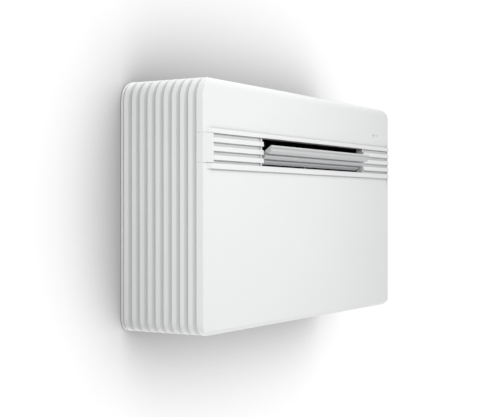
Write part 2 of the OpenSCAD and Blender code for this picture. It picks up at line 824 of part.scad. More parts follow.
module outdoor_fan_shroud() {
    ring_y = -24;
    color("dimgray") difference() {
        union() {
            rod_y([exhaust_x, ring_y, duct_z], wheel_r + 8, 56);
            for (a = [0:90:270]) translate([exhaust_x, ring_y - 56, duct_z]) rotate([0, a, 0])
                block([28, -6, -4], [wheel_r + 6, 0.5, 4]);
            rod_y([exhaust_x, ring_y - 56, duct_z], 37, 6);
            for (sx = [-1, 1]) block([exhaust_x + sx * 82 - 8, ring_y - 40, 13.5],
                                     [exhaust_x + sx * 82 + 8, ring_y - 10, 60]);
            block([exhaust_x - 90, ring_y - 40, 13.5], [exhaust_x + 90, ring_y - 10, 60]);
        }
        rod_y([exhaust_x, ring_y + 1, duct_z], wheel_r + 2.5, 56);
        rod_y([exhaust_x, ring_y - 50, duct_z], 32.2, 20);
    }
}

module outdoor_fan_wheel() {
    hub_r = 27;
    y0 = -36;
    color("darkslategray") {
        difference() {
            rod_y([exhaust_x, y0, duct_z], hub_r, 36);
            rod_y([exhaust_x, y0 - 3, duct_z], hub_r - 3, 40);
        }
        difference() {
            rod_y([exhaust_x, y0, duct_z], 8, 36);
            rod_y([exhaust_x, y0 - 12, duct_z], 4 + run_gap, 40);
        }
        rod_y([exhaust_x, y0, duct_z], hub_r, 3);
        intersection() {
            difference() {
                rod_y([exhaust_x, y0, duct_z], wheel_r, 34);
                rod_y([exhaust_x, y0 + 1, duct_z], hub_r - 1, 60);
            }
            for (i = [0:wheel_blades - 1]) translate([exhaust_x, y0 - 17, duct_z])
                rotate([0, i * 360 / wheel_blades, 0]) rotate([38, 0, 0])
                    block([hub_r - 4, -24, -1], [wheel_r + 4, 24, 1]);
        }
    }
}

module outdoor_fan_motor() {
    color("silver") {
        rod_y([exhaust_x, -80, duct_z], 32, 44);
        rod_y([exhaust_x, -50, duct_z], 4, 31);
        rod_y([exhaust_x, -122, duct_z], 16, 8);
    }
}

// ---- Compressor and refrigerant parts ----

module compressor() {
    r = 54;
    color("black") difference() {
        union() {
            rod_z([comp_x, comp_y, 40], r, 170);
            translate([comp_x, comp_y, 210]) intersection() {
                sphere(r = r + 0.4, $fn = 64);
                rod_z([0, 0, 0], r + 2, 24);
            }
            rod_z([comp_x, comp_y, 26], r - 12, 15);
            rod_z([comp_x, comp_y, 22.5], r + 18, 4);
            // Suction accumulator with its strap
            rod_z([suction_at[0], suction_at[1], 70], 20, 120);
            block([comp_x + 50, comp_y - 8, 150], [comp_x + 70, comp_y + 8, 158]);
        }
        for (p = foot_places) rod_z([p[0], p[1], 20], 3.2, 10);
    }
}

module compressor_feet() {
    color("dimgray") for (p = foot_places) difference() {
        rod_z([p[0], p[1], 12.7], 8, 9.6);
        rod_z([p[0], p[1], 10], 3.2, 20);
    }
}

module compressor_bolts() {
    color("silver") for (p = foot_places) {
        rod_z([p[0], p[1], 9], 3, 22);
        translate([p[0], p[1], 26.7]) cylinder(h = 4, r = 6, $fn = 6);
    }
}

module reversing_valve() {
    x0 = -398;
    color("goldenrod") {
        rod_x([x0, -110, 330], 12, 70);
        rod_z([x0 + 35, -110, 338], 4, 20);
        for (dx = [15, 35, 55]) rod_z([x0 + dx, -110, 305], 4, 18);
        block([x0 + 70, -120, 322], [x0 + 88, -100, 340]);
    }
}

module expansion_valve() {
    color("goldenrod") {
        rod_z([-300, -60, 300], 9, 26);
        rod_z([-300, -60, 325], 14, 22);
    }
}

module filter_drier() { color("chocolate") rod_z([-262, -60, 300], 11, 60); }

// Ends of the evaporator's circuit on its left, as [y, z]
function evap_end(i) = [
    evap_y + evap_tube(i)[0] * cos(evap_tilt) - evap_tube(i)[1] * sin(evap_tilt),
    evap_z + evap_tube(i)[0] * sin(evap_tilt) + evap_tube(i)[1] * cos(evap_tilt)];

module refrigerant_pipes() {
    x_end = evap_x0 - 4.2;
    gas = evap_end(0);
    liquid = evap_end(11);
    z_end = cond_z1 + 2.2;
    color("chocolate") {
        // Discharge: compressor top to the reversing valve
        pipe([[comp_x - 40, comp_y, 234.2], [comp_x - 40, comp_y, 290], [-363, -110, 290],
              [-363, -110, 304.8]], 4);
        // Suction: valve to the accumulator, and from there into the compressor
        pipe([[-383, -110, 304.8], [-383, -110, 280], [-383, -135, 280], [suction_at[0], -135, 280],
              [suction_at[0], suction_at[1], 280], [suction_at[0], suction_at[1], 190.2]], 4);
        pipe([[suction_at[0], suction_at[1], 69.8], [suction_at[0], suction_at[1], 56],
              [comp_x + 54.2, comp_y, 56]], 4);
        // Gas line to the evaporator
        pipe([[-363, -110, 358.3], [-363, -110, 380], [-250, -110, 380], [-250, gas[0], gas[1]],
              [x_end, gas[0], gas[1]]], 3.5);
        // Gas line to the condenser
        pipe([[-343, -110, 304.8], [-343, -110, 266], [-60, hot_gas_at[1], 266],
              [hot_gas_at[0], hot_gas_at[1], 266], [hot_gas_at[0], hot_gas_at[1], z_end]], 3.5);
        // Liquid line: condenser, drier, expansion valve, evaporator
        pipe([[liquid_at[0], liquid_at[1], z_end], [liquid_at[0], liquid_at[1], 270], [-262, -60, 270],
              [-262, -60, 299.8]], 3);
        pipe([[-262, -60, 360.3], [-262, -60, 372], [-281, -60, 372], [-281, -60, 288], [-300, -60, 288],
              [-300, -60, 299.8]], 3);
        pipe([[-300, -69.3, 312], [-300, -84, 312], [-300, -84, 420], [-250, liquid[0], liquid[1]],
              [x_end, liquid[0], liquid[1]]], 3);
    }
}

// ---- Chassis and mounting ----

// Bracket screw places in X and Z
function bracket_screws() = [for (sx = [-1, 1]) for (sz = [0, 1])
    [sx * bracket_pitch_x / 2, bracket_z + sz * bracket_pitch_z]];

module wall_bracket() {
    z0 = bracket_z;
    color("silver") difference() {
        union() {
            block([-360, -2.6, z0 - 16], [360, 0, z0 + 46]);
            // Hooks that carry the chassis
            for (x = [-250, 250]) {
                block([x - 30, -9.5, z0 + 2], [x + 30, -2.5, z0 + 5]);
                block([x - 30, -9.5, z0 + 2], [x + 30, -7, z0 + 14]);
            }
        }
        for (p = bracket_screws()) rod_y([p[0], 1, p[1]], 4, 10);
    }
}

module rear_chassis() {
    z0 = bracket_z;
    color("silver") difference() {
        union() {
            along_y(-3.6, 2) outline(10);
            block([-416, slab_y + 4, 10.5], [416, -3.8, 12.5]);
        }
        for (x = [inlet_x, exhaust_x]) rod_y([x, 1, duct_z], duct_r + 4.3, 20);
        // Windows for the bracket hooks and its wall screws
        for (x = [-250, 250]) block([x - 32, -12, z0 + 1.5], [x + 32, 0, z0 + 20]);
        for (p = bracket_screws()) rod_y([p[0], 1, p[1]], 10, 10);
        for (p = screw_places()) rod_z([p[0], p[1], 5], 2.15, 20);
        for (p = foot_places) rod_z([p[0], p[1], 5], 3.1, 12);
        // Cable and drain holes
        rod_y([cable_x, 1, cable_z], 9.1, 10);
        rod_y([drain_x, 1, drain_z], 9.6, 10);
    }
}

// ---- Electrics ----

module electronics_box() {
    color("lightgray") difference() {
        union() {
            difference() {
                block([292, -168, 60], [418, -40, 236]);
                block([294, -169, 62], [416, -42, 234]);
            }
            for (x = [302, 408]) for (z = [84, 224]) rod_y([x, -41, z], 3, 17);
        }
        rod_z([cable_x, -52, 58], 5, 6);
        rod_z([315, -57, 232], 8, 6);
    }
}

module electronics_lid() {
    color("lightgray") {
        block([290, -170.4, 58], [420, -168.2, 238]);
        difference() {
            block([294.4, -169, 62.4], [415.6, -160, 233.6]);
            block([296, -167, 64], [414, -158, 232]);
        }
    }
}

module main_board() {
    color("darkgreen") {
        block([297, -60, 76], [413, -58.2, 230]);
        block([310, -78, 150], [350, -59, 200]);
        block([360, -72, 160], [400, -59, 190]);
        for (i = [0:3]) rod_y([312 + i * 14, -59, 132], 5, 16);
    }
}

module run_capacitor() { color("whitesmoke") rod_z([330, -82, 72], 16, 44); }

module terminal_block() {
    color("beige") difference() {
        block([362, -80, 80], [410, -60.2, 100]);
        for (i = [0:3]) rod_y([368 + i * 12, -70, 90], 3.4, 12);
    }
}

module mains_cable() {
    x = cable_x;
    color("black")
        pipe([[x, -0.5, cable_z], [x, -52, cable_z], [x, -52, 67], [x, -68, 67], [x, -68, 79.8]], 4);
}

module cable_gland() {
    color("black") difference() {
        union() {
            rod_y([cable_x, -1, cable_z], 9, 16);
            rod_y([cable_x, -5.8, cable_z], 13, 4);
        }
        rod_y([cable_x, 1, cable_z], 4.9, 30);
    }
}

// ---- Condensate ----

module condensate_pump() {
    color("dimgray") difference() {
        block([-225, -160, 13], [-165, -110, 45]);
        block([-223, -158, 15], [-167, -112, 46]);
    }
    // Pump body beside the float
    color("dimgray") block([-212, -130, 14.9], [-180, -114, 40]);
}

module pump_float() {
    color("orange") rod_z([-196, -145, 19], 9, 8);
}

module drain_socket() {
    color("dimgray") difference() {
        union() {
            rod_y([drain_x, -1, drain_z], 9.5, 28);
            rod_y([drain_x, -5.8, drain_z], 14, 3);
        }
        rod_y([drain_x, 0, drain_z], 7, 22);
        rod_y([drain_x, 0, drain_z], 5, 30);
    }
}

rear_chassis();
wall_bracket();
left_side_cover();
right_side_cover();
top_cover();
bottom_cover();
front_upper_panel();
outlet_band();
front_lower_panel();
outlet_flap();
flap_sector();
outlet_post();
flap_pinion();
flap_motor();
vane_1();
vane_2();
vane_3();
vane_4();
vane_5();
vane_6();
vane_tie_bar();
vane_motor();
filter_left();
filter_right();
evaporator_fins();
evaporator_tubes();
drip_tray();
indoor_scroll();
tangential_fan();
indoor_fan_motor();
fan_end_bearing();
partition();
condenser_fins();
condenser_tubes();
outdoor_fan_shroud();
outdoor_fan_wheel();
outdoor_fan_motor();
inlet_collar();
exhaust_collar();
duct_seals();
compressor();
compressor_feet();
compressor_bolts();
reversing_valve();
expansion_valve();
filter_drier();
refrigerant_pipes();
electronics_box();
electronics_lid();
main_board();
run_capacitor();
terminal_block();
mains_cable();
cable_gland();
display_board();
display_light_guide();
condensate_pump();
pump_float();
drain_socket();
screws();
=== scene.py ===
"""Looks of the wall-mounted fan convector: materials, fine meshes, light and camera around the CAD frame."""
import json
import math

import bmesh
import bpy
from mathutils import Matrix, Vector


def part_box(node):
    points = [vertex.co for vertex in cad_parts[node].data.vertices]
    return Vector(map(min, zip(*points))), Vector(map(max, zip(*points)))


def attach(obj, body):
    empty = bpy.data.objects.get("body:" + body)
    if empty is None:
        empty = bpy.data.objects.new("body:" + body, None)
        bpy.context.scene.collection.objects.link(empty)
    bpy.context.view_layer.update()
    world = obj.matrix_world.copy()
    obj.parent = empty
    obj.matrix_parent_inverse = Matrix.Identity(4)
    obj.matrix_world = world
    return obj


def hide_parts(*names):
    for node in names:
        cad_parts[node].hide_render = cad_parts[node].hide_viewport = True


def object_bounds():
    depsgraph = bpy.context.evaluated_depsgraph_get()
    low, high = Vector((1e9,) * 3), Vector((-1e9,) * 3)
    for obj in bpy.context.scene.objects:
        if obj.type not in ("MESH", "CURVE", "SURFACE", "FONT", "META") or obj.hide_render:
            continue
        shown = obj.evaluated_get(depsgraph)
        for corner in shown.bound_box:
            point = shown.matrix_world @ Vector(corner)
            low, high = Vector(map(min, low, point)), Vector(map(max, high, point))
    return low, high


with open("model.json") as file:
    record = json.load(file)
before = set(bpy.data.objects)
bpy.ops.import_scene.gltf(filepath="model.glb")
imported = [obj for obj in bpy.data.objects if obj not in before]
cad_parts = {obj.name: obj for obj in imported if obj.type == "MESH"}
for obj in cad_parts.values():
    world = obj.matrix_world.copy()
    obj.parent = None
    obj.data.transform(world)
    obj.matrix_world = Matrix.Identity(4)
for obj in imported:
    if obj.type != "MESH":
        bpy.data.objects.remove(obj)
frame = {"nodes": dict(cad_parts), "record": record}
CAD_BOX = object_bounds()
MM = 0.001


def corners(node):
    """A CAD node's lowest and highest corners at rest, in millimetres."""
    return [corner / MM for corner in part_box(node)]


def middle(node):
    """The centre of a CAD node's box, in millimetres."""
    low, high = corners(node)
    return (low + high) / 2


# ---------------------------------------------------------------- node helpers

# Reach of the painted shade that darkens creases.
CREASE_SHADE_REACH = 0.009
GRAIN_HEIGHT = 0.0002


class Shader:
    """A material under construction: a thin wrapper that adds and links nodes."""

    def __init__(self, name):
        self.material = bpy.data.materials.new(name)
        self.material.use_nodes = True
        self.tree = self.material.node_tree
        self.tree.nodes.clear()
        self.out = self.tree.nodes.new("ShaderNodeOutputMaterial")
        self.coords = self.add("ShaderNodeTexCoord").outputs["Object"]

    def add(self, kind, **settings):
        node = self.tree.nodes.new(kind)
        for key, value in settings.items():
            if key in node.inputs:
                node.inputs[key].default_value = value
            else:
                setattr(node, key, value)
        return node

    def link(self, source, target):
        self.tree.links.new(source, target)

    def stretched(self, scale):
        """Object coordinates scaled along X, Y and Z."""
        node = self.add("ShaderNodeMapping")
        node.inputs["Scale"].default_value = scale
        self.link(self.coords, node.inputs["Vector"])
        return node.outputs["Vector"]

    def noise(self, scale, detail=3.0, roughness=0.5, vector=None):
        node = self.add("ShaderNodeTexNoise", Scale=scale, Detail=detail, Roughness=roughness)
        self.link(vector or self.coords, node.inputs["Vector"])
        return node.outputs["Fac"]

    def ramp(self, value, stops):
        """Maps a value through colour stops of (position, rgb)."""
        node = self.add("ShaderNodeValToRGB")
        elements = node.color_ramp.elements
        while len(elements) < len(stops):
            elements.new(0.5)
        for element, (position, rgb) in zip(elements, stops):
            element.position = position
            element.color = (*rgb, 1.0)
        self.link(value, node.inputs["Fac"])
        return node.outputs["Color"]

    def spread(self, value, low, high):
        """Maps 0..1 to low..high."""
        node = self.add("ShaderNodeMapRange")
        node.inputs["To Min"].default_value = low
        node.inputs["To Max"].default_value = high
        self.link(value, node.inputs["Value"])
        return node.outputs["Result"]

    def bump(self, height, strength, distance, normal=None):
        node = self.add("ShaderNodeBump", Strength=strength, Distance=distance)
        self.link(height, node.inputs["Height"])
        if normal is not None:
            self.link(normal, node.inputs["Normal"])
        return node.outputs["Normal"]

    def rounded(self, radius):
        """A shading normal that rounds sharp edges by a small radius."""
        return self.add("ShaderNodeBevel", samples=6, Radius=radius).outputs["Normal"]

    def principled(self, **inputs):
        """Ends the material with a Principled shader; sockets are linked and plain values are set."""
        node = self.add("ShaderNodeBsdfPrincipled")
        for key, value in inputs.items():
            socket = node.inputs[key.replace("_", " ")]
            if isinstance(value, bpy.types.NodeSocket):
                self.link(value, socket)
            else:
                socket.default_value = value
        self.link(node.outputs["BSDF"], self.out.inputs["Surface"])
        return self.material


def paint_crease_shade(s, colour, depth):
    """Paints shade into a colour, by a depth of 0..1, in grooves and corners a few millimetres wide, darker
    where ambient occlusion finds them closed in.
    """
    open_air = s.add("ShaderNodeAmbientOcclusion", samples=4, Distance=CREASE_SHADE_REACH).outputs["AO"]
    tone = s.ramp(open_air, [(0.3, (1 - depth,) * 3), (0.9, (1.0,) * 3)])
    mix = s.add("ShaderNodeMixRGB", blend_type="MULTIPLY", Fac=1.0)
    s.link(colour, mix.inputs["Color1"])
    s.link(tone, mix.inputs["Color2"])
    return mix.outputs["Color"]


def shade(rgb, factor):
    return tuple(min(1.0, c * factor) for c in rgb)


def plastic(name, rgb, rough, grain_depth=0.02, variation=0.02, edge=0.0004, coat=0.0, crease_shade=0.0):
    """Moulded plastic: faint flow marks in the colour, painted shade in creases, a fine grain, uneven gloss.
    """
    s = Shader(name)
    flow = s.noise(7.0, 4.0, vector=s.stretched((0.5, 1.0, 1.6)))
    colour = s.ramp(flow, [(0.3, shade(rgb, 1 - variation)), (0.7, shade(rgb, 1 + variation))])
    # Painted shade: the colour goes darker in creases.
    if crease_shade:
        colour = paint_crease_shade(s, colour, crease_shade)
    fine = s.noise(1600, 2.0, 0.6)
    smudge = s.noise(11.0, 5.0, 0.62)
    gloss = s.spread(smudge, rough * 0.88, rough * 1.14)
    normal = s.bump(fine, grain_depth, GRAIN_HEIGHT, s.rounded(edge))
    return s.principled(Base_Color=colour, Roughness=gloss, Normal=normal, IOR=1.5, Coat_Weight=coat,
                        Coat_Roughness=0.2)


def casing_paint(name, crease_shade):
    """The casing's white: smooth, slightly glossy, with softened edges and painted shade in its creases."""
    return plastic(name, (0.86, 0.865, 0.87), 0.3, variation=0.008, edge=0.0007, coat=0.15, crease_shade=crease_shade)


def sheet_metal(name, rgb):
    """Zinc-plated sheet: spangled crystals in colour and gloss, faint rolling lines."""
    s = Shader(name)
    cells = s.add("ShaderNodeTexVoronoi", Scale=180.0)
    s.link(s.coords, cells.inputs["Vector"])
    grey = s.add("ShaderNodeSeparateColor")
    s.link(cells.outputs["Color"], grey.inputs["Color"])
    tone = grey.outputs["Red"]
    colour = s.ramp(tone, [(0.0, shade(rgb, 0.86)), (1.0, shade(rgb, 1.08))])
    lines = s.noise(900.0, 2.0, vector=s.stretched((0.03, 1.0, 1.0)))
    return s.principled(Base_Color=colour, Metallic=1.0, Roughness=s.spread(tone, 0.304, 0.475),
                        Normal=s.bump(lines, 0.06, GRAIN_HEIGHT, s.rounded(0.0004)))


def machined(name, rgb, rough):
    """Turned or drawn metal: fine streaks and light tarnish."""
    s = Shader(name)
    tarnish = s.noise(60.0, 5.0, 0.65)
    colour = s.ramp(tarnish, [(0.35, shade(rgb, 0.72)), (0.7, rgb)])
    streaks = s.noise(1400.0, 1.0, vector=s.stretched((1.0, 0.08, 1.0)))
    gloss = s.spread(tarnish, rough * 1.5, rough * 0.8)
    return s.principled(Base_Color=colour, Metallic=1.0, Roughness=gloss,
                        Normal=s.bump(streaks, 0.08, GRAIN_HEIGHT))


def foam_rubber(name, rgb):
    """Closed-cell foam: small pits over a mottled dark surface."""
    s = Shader(name)
    pits = s.add("ShaderNodeTexVoronoi", Scale=420.0)
    s.link(s.coords, pits.inputs["Vector"])
    mottle = s.noise(25.0, 4.0)
    colour = s.ramp(mottle, [(0.3, shade(rgb, 0.8)), (0.7, shade(rgb, 1.25))])
    return s.principled(Base_Color=colour, Roughness=0.9,
                        Normal=s.bump(pits.outputs["Distance"], 0.5, 0.0008))


def painted_steel(name, rgb):
    """Sprayed satin paint with orange peel."""
    s = Shader(name)
    peel = s.noise(320.0, 3.0)
    tone = s.noise(14.0, 4.0)
    colour = s.ramp(tone, [(0.3, shade(rgb, 0.8)), (0.7, shade(rgb, 1.3))])
    return s.principled(Base_Color=colour, Roughness=s.spread(tone, 0.3, 0.42), Coat_Weight=0.3,
                        Normal=s.bump(peel, 0.1, 0.0006, s.rounded(0.0006)))


def circuit_board(name, rgb):
    """Green solder mask with copper tracks under it."""
    s = Shader(name)
    tracks = s.add("ShaderNodeTexBrick", Scale=90.0)
    tracks.inputs["Mortar Size"].default_value = 0.03
    tracks.inputs["Color1"].default_value = (*rgb, 1)
    tracks.inputs["Color2"].default_value = (*shade(rgb, 0.85), 1)
    tracks.inputs["Mortar"].default_value = (*shade(rgb, 1.6), 1)
    turned = s.add("ShaderNodeMapping")
    turned.inputs["Rotation"].default_value = (math.radians(90), 0, 0)
    s.link(s.coords, turned.inputs["Vector"])
    s.link(turned.outputs["Vector"], tracks.inputs["Vector"])
    return s.principled(Base_Color=tracks.outputs["Color"], Roughness=0.35,
                        Normal=s.bump(tracks.outputs["Fac"], 0.1, 0.0003))


RECORD = {m["slot"]: tuple(m["base_color"][:3]) for m in frame["record"]["materials"]}
MATERIALS = {
    "casing_white": casing_paint("casing_white", 0.65),
    # The flap's white is painted greyer than the casing's: painted shade for a flap that faces down, away
    # from the light, with light painted shade in its creases too.
    "flap_white": plastic("flap_white", (0.59, 0.595, 0.6), 0.3, edge=0.0005, variation=0.008, crease_shade=0.12),
    "zinc_steel": sheet_metal("zinc_steel", RECORD["zinc_steel"]),
    "black_plastic": plastic("black_plastic", (0.008, 0.008, 0.009), 0.55),
    "grey_plastic": plastic("grey_plastic", RECORD["grey_plastic"], 0.5, grain_depth=0.05),
    "fan_plastic": plastic("fan_plastic", (0.02, 0.02, 0.022), 0.6, grain_depth=0.06),
    "foam": foam_rubber("foam", RECORD["foam"]),
    "fin_aluminium": machined("fin_aluminium", RECORD["fin_aluminium"], 0.35),
    "copper": machined("copper", RECORD["copper"], 0.24),
    "black_paint": painted_steel("black_paint", RECORD["black_paint"]),
    "black_rubber": foam_rubber("black_rubber", RECORD["black_rubber"]),
    "valve_brass": machined("valve_brass", RECORD["valve_brass"], 0.28),
    "box_grey": plastic("box_grey", RECORD["box_grey"], 0.55, grain_depth=0.06),
    "board_green": circuit_board("board_green", RECORD["board_green"]),
    "light_plastic": plastic("light_plastic", RECORD["light_plastic"], 0.4),
    "float_orange": plastic("float_orange", RECORD["float_orange"], 0.45),
}


def finish_nodes():
    """Gives every CAD node its slot's material; the front's shallow louvres take a copy of the casing white
    with lighter painted shade in their creases.
    """
    front = casing_paint("casing_white_front", 0.35)
    for entry in frame["record"]["subparts"]:
        piece = frame["nodes"][entry["node"]]
        piece.data.materials.clear()
        on_front = entry["node"] in ("front_upper_panel", "outlet_band", "front_lower_panel")
        piece.data.materials.append(front if on_front else MATERIALS[entry["material_slot"]])


finish_nodes()


# ---------------------------------------------------------------- mesh helpers

class Shape:
    """Vertices and faces of one piece, gathered in millimetres in the CAD frame."""

    def __init__(self):
        self.verts = []
        self.faces = []

    def add(self, verts, faces, place=None):
        base = len(self.verts)
        self.verts += [(place @ Vector(v)) if place else Vector(v) for v in verts]
        self.faces += [tuple(base + i for i in face) for face in faces]

    def loft(self, rings, place=None):
        """Skin over rings of equal length, with flat caps."""
        n = len(rings[0])
        verts = [v for ring in rings for v in ring]
        faces = [(r * n + i, r * n + (i + 1) % n, (r + 1) * n + (i + 1) % n, (r + 1) * n + i)
                 for r in range(len(rings) - 1) for i in range(n)]
        faces += [tuple(range(n))[::-1], tuple((len(rings) - 1) * n + i for i in range(n))]
        self.add(verts, faces, place)

    def lathe(self, profile, place, sides=40):
        """Solid of revolution about Z from (radius, height) points."""
        rings = [[(r * math.cos(a), r * math.sin(a), h) for a in
                  (2 * math.pi * k / sides for k in range(sides))] for r, h in profile]
        self.loft(rings, place)

    def ring(self, profile, place, sides=48):
        """Closed ring of revolution about Z from a loop of (radius, height) points."""
        n = len(profile)
        verts = [(r * math.cos(a), r * math.sin(a), h) for a in
                 (2 * math.pi * k / sides for k in range(sides)) for r, h in profile]
        faces = []
        for k in range(sides):
            here, ahead = k * n, (k + 1) % sides * n
            faces += [(here + i, here + (i + 1) % n, ahead + (i + 1) % n, ahead + i) for i in range(n)]
        self.add(verts, faces, place)

    def tube(self, path, radius, sides=14):
        """Round tube along a path of points; the radius may be a list, one value for each point."""
        path = [Vector(p) for p in path]
        radii = radius if isinstance(radius, list) else [radius] * len(path)
        way = (path[1] - path[0]).normalized()
        across = way.orthogonal().normalized()
        rings = []
        for k, point in enumerate(path):
            ahead = (path[min(k + 1, len(path) - 1)] - path[max(k - 1, 0)]).normalized()
            across = (across - ahead * across.dot(ahead)).normalized()
            up = ahead.cross(across)
            rings.append([point + (across * math.cos(a) + up * math.sin(a)) * radii[k]
                          for a in (2 * math.pi * i / sides for i in range(sides))])
        self.loft(rings)

    def brick(self, low, high, edge=0.6):
        """Box with chamfered upright and horizontal edges."""
        (x0, y0, z0), (x1, y1, z1) = low, high
        e = min(edge, (x1 - x0) / 3, (y1 - y0) / 3, (z1 - z0) / 3)

        def outline(inset, z):
            a, b, p, q = x0 + inset, x1 - inset, y0 + inset, y1 - inset
            return [(a + e, p, z), (b - e, p, z), (b, p + e, z), (b, q - e, z),
                    (b - e, q, z), (a + e, q, z), (a, q - e, z), (a, p + e, z)]

        self.loft([outline(e, z0), outline(0, z0 + e), outline(0, z1 - e), outline(e, z1)])

    def piece(self, name, body, slot_name, replaces=(), smooth_angle=35):
        """Makes the mesh, paints it with its slot's material and lets it ride on a body."""
        mesh = bpy.data.meshes.new(name)
        mesh.from_pydata([v * MM for v in self.verts], [], self.faces)
        work = bmesh.new()
        work.from_mesh(mesh)
        bmesh.ops.recalc_face_normals(work, faces=work.faces)
        work.to_mesh(mesh)
        work.free()
        mesh.shade_smooth()
        mesh.set_sharp_from_angle(angle=math.radians(smooth_angle))
        made = bpy.data.objects.new(name, mesh)
        bpy.context.scene.collection.objects.link(made)
        mesh.materials.append(MATERIALS[slot_name])
        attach(made, body)
        if replaces:
            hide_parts(*replaces)
        return made


def rounded_path(points, radius, steps=7):
    """Path through points whose corners are rounded, as far as the legs allow."""
    points = [Vector(p) for p in points]
    path = [points[0]]
    for before, corner, after in zip(points, points[1:], points[2:]):
        a, b = (before - corner), (after - corner)
        reach = min(radius, a.length * 0.48, b.length * 0.48)
        start, end = corner + a.normalized() * reach, corner + b.normalized() * reach
        for k in range(steps + 1):
            t = k / steps
            path.append(start * (1 - t) ** 2 + corner * 2 * t * (1 - t) + end * t * t)
    return path + [points[-1]]


def along(axis, place):
    """Turns a shape made about Z so that it runs along an axis from a place."""
    return Matrix.Translation(Vector(place)) @ Vector(axis).to_track_quat("Z", "Y").to_matrix().to_4x4()


# ---------------------------------------------------------------- sizes and places, in millimetres

# Sizes that the boxes of the CAD nodes don't show
SKIN = 3
LIP_PROUD = 5.5
FAN_R = 42
EVAPORATOR_TILT = math.radians(-12)
COMPRESSOR_R = 54
ACCUMULATOR_R = 20
ACCUMULATOR_BASE, ACCUMULATOR_TOP = 70, 190

# Places worked out from those boxes
DUCT_X0 = corners("indoor_scroll")[0].x + SKIN
DUCT_X1 = corners("indoor_scroll")[1].x - SKIN
FAN_Y, FAN_Z = middle("tangential_fan").yz
EVAP_X0, EVAP_X1 = (corner.x for corner in corners("evaporator_fins"))
EVAPORATOR = (Matrix.Translation((0, *middle("evaporator_fins").yz))
              @ Matrix.Rotation(EVAPORATOR_TILT, 4, "X"))
WHEEL = Vector((middle("exhaust_collar").x, corners("outdoor_fan_wheel")[1].y, middle("exhaust_collar").z))
COMPRESSOR = Vector((middle("compressor_bolts").x, middle("compressor").y, 0))
ACCUMULATOR = Vector((corners("compressor")[1].x - ACCUMULATOR_R, COMPRESSOR.y, 0))


# ---------------------------------------------------------------- fin packs and filter mesh

def corrugated_fin(shape, half_long, half_wide, place):
    """One thin fin whose folds run along its length."""
    folds, wave, gauge = 8, 0.35, 0.13
    line = [(-half_wide + 2 * half_wide * k / folds, wave if k % 2 else -wave) for k in range(folds + 1)]
    loop = line + [(w, h + gauge) for w, h in reversed(line)]
    shape.loft([[(end, w, h) for w, h in loop] for end in (-half_long, half_long)], place)


def build_fin_packs():
    """Upright fins across the tilted evaporator, and level fins up the condenser."""
    fin_half_long, fin_half_wide = 68, 12.9
    evaporator_pitch, condenser_pitch = 1.7, 1.8
    sharp_angle = 20
    evaporator = Shape()
    for k in range(int((EVAP_X1 - EVAP_X0) / evaporator_pitch)):
        x = EVAP_X0 + evaporator_pitch * (k + 0.5)
        place = EVAPORATOR @ Matrix(((0, 0, 1, x), (1, 0, 0, 0), (0, 1, 0, 0), (0, 0, 0, 1)))
        corrugated_fin(evaporator, fin_half_long, fin_half_wide, place)
    evaporator.piece("evaporator_fin_pack", "casing", "fin_aluminium", ["evaporator_fins"], sharp_angle)

    low, high = corners("condenser_fins")
    centre, size = (low + high) / 2, high - low
    condenser = Shape()
    for k in range(int(size.z / condenser_pitch)):
        z = low.z + condenser_pitch * (k + 0.5)
        place = Matrix(((0, 1, 0, centre.x), (1, 0, 0, centre.y), (0, 0, 1, z), (0, 0, 0, 1)))
        corrugated_fin(condenser, size.y / 2, size.x / 2, place)
    condenser.piece("condenser_fin_pack", "casing", "fin_aluminium", ["condenser_fins"], sharp_angle)


def build_filter_mesh():
    """Crossed threads on the cassettes' mesh field."""
    pitch, gauge, field_edge, sheet = 3.0, 0.22, 8, 1
    for side in ("left", "right"):
        low, high = corners(f"filter_{side}")
        under = low.z + sheet + gauge
        over = under + 2 * gauge
        weave = Shape()
        x = low.x + field_edge
        while x < high.x - field_edge:
            weave.tube([(x, low.y + field_edge, under), (x, high.y - field_edge, under)], gauge, 6)
            x += pitch
        y = low.y + field_edge
        while y < high.y - field_edge:
            weave.tube([(low.x + field_edge, y, over), (high.x - field_edge, y, over)], gauge, 6)
            y += pitch
        weave.piece(f"filter_weave_{side}", f"cassette_{side}", "black_plastic")


# ---------------------------------------------------------------- fans

def on_shaft(x, way=1):
    """Placement on the indoor fan's shaft, whose own Z runs along the shaft."""
    return along((way, 0, 0), (x, FAN_Y, FAN_Z))


